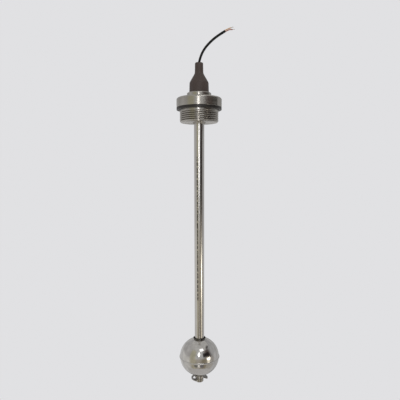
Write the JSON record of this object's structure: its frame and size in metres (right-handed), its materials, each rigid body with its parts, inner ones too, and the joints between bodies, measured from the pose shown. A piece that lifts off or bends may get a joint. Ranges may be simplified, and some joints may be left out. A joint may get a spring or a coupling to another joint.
{
  "type": "magnetic float level sensor",
  "caption": "Screw-in level sensor: a ball float with a ring magnet slides on a closed steel stem that holds a chain of reed switches, below a flanged pipe-thread plug with a rubber cable boot.",
  "frame": {"origin": "on the stem's axis in the sealing plane, the underside of the gasket, where the thread starts", "axes": "+Z along the stem's axis, up towards the cable; the stem hangs down along -Z; -Y is the side that the picture shows, +X to its right"},
  "size_m": [0.0704, 0.0556, 0.4563],
  "materials": {
    "turned_steel": "turned stainless steel, satin with fine turning lines",
    "drawn_steel": "drawn stainless tube, bright with fine polishing lines",
    "float_steel": "pressed stainless steel, mirror polished, slightly wavy",
    "clip_steel": "stamped spring steel, dull grey",
    "gasket_rubber": "dark nitrile, satin",
    "boot_rubber": "moulded dark grey-brown rubber, satin",
    "cable_sheath": "black sheath, satin",
    "core_brown": "brown core insulation",
    "core_yellow": "yellow core insulation",
    "tinned_strands": "tinned copper strands",
    "resin": "cast black resin",
    "board": "glass-fibre board, green lacquer",
    "chip_ceramic": "chip resistors",
    "spacer_silicone": "red silicone",
    "reed_glass": "reed switch glass",
    "ferrite": "sintered ferrite ring"
  },
  "bodies": {
    "root": {"mounting_plug": "turned_steel", "sealing_gasket": "gasket_rubber", "stem_tube": "drawn_steel", "stem_end_plug": "turned_steel", "retaining_clip": "clip_steel", "cable_boot": "boot_rubber", "cable_jacket": "cable_sheath", "cable_lead_in": "cable_sheath", "core_brown": "core_brown", "core_yellow": "core_yellow", "strands_brown": "tinned_strands", "strands_yellow": "tinned_strands", "inner_core_brown": "core_brown", "inner_core_yellow": "core_yellow", "chamber_resin": "resin", "sensor_board": "board", "chain_resistors": "chip_ceramic", "board_spacer_lower": "spacer_silicone", "board_spacer_middle": "spacer_silicone", "board_spacer_upper": "spacer_silicone", "reed_switch_01": "reed_glass", "reed_switch_02": "reed_glass", "reed_switch_03": "reed_glass", "reed_switch_04": "reed_glass", "reed_switch_05": "reed_glass", "reed_switch_06": "reed_glass", "reed_switch_07": "reed_glass", "reed_switch_08": "reed_glass", "reed_switch_09": "reed_glass", "reed_switch_10": "reed_glass", "reed_switch_11": "reed_glass", "reed_switch_12": "reed_glass", "reed_switch_13": "reed_glass", "reed_switch_14": "reed_glass", "reed_switch_15": "reed_glass"},
    "float": {"float_upper_shell": "float_steel", "float_lower_shell": "float_steel", "float_guide_tube": "float_steel", "ring_magnet": "ferrite", "magnet_cup": "drawn_steel", "magnet_washer": "drawn_steel"}
  },
  "joints": [
    {"name": "float_slide", "type": "slide", "parent": "root", "child": "float", "axis": [0, 0, 1], "range_m": [-0.0043, 0.2804]}
  ]
}
